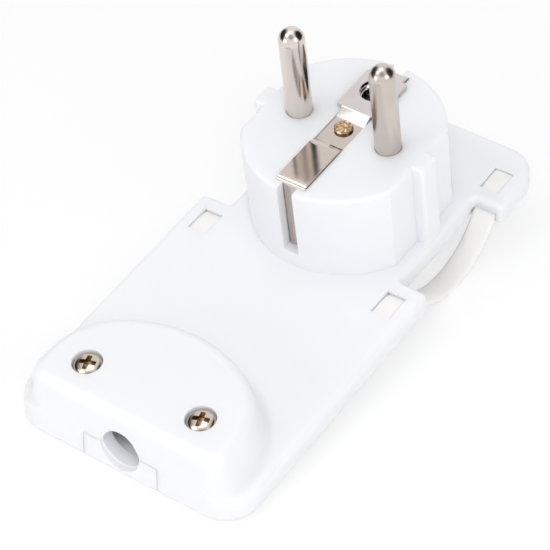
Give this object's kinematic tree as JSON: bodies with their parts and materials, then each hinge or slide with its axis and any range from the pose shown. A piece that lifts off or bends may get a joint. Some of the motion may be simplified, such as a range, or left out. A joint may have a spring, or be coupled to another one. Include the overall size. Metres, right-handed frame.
{
  "type": "flat earthed mains plug",
  "caption": "Extra-flat earthed mains plug: thin white plate with a round boss carrying pins and an earth strip, a low terminal hump with a cord inlet, and pull straps at its sides.",
  "frame": {"origin": "under the middle of the plate, level with the lowest point of the straps", "axes": "X across the plate, Y from the cord end to the far end, Z along the pins away from the plate"},
  "size_m": [0.049, 0.096, 0.047],
  "materials": {
    "white_plastic": "smooth moulded, low gloss",
    "strap_plastic": "soft moulded, satin",
    "nickel": "nickel plate on brass",
    "brass": "plain",
    "screw_steel": "zinc plated"
  },
  "bodies": {
    "root": {"front_housing": "white_plastic", "back_cover": "white_plastic", "pin_left": "nickel", "pin_right": "nickel", "earth_strip": "nickel", "earth_socket": "nickel", "earth_rivet": "brass", "busbar_left": "brass", "busbar_right": "brass", "earth_busbar": "brass", "terminal_left": "brass", "terminal_right": "brass", "earth_terminal": "brass", "terminal_screw_left": "screw_steel", "terminal_screw_right": "screw_steel", "earth_terminal_screw": "screw_steel", "pull_strap_left": "strap_plastic", "pull_strap_right": "strap_plastic", "case_screw_left": "screw_steel", "case_screw_right": "screw_steel", "cord_clamp": "white_plastic", "clamp_screw_left": "screw_steel", "clamp_screw_right": "screw_steel"}
  },
  "joints": []
}
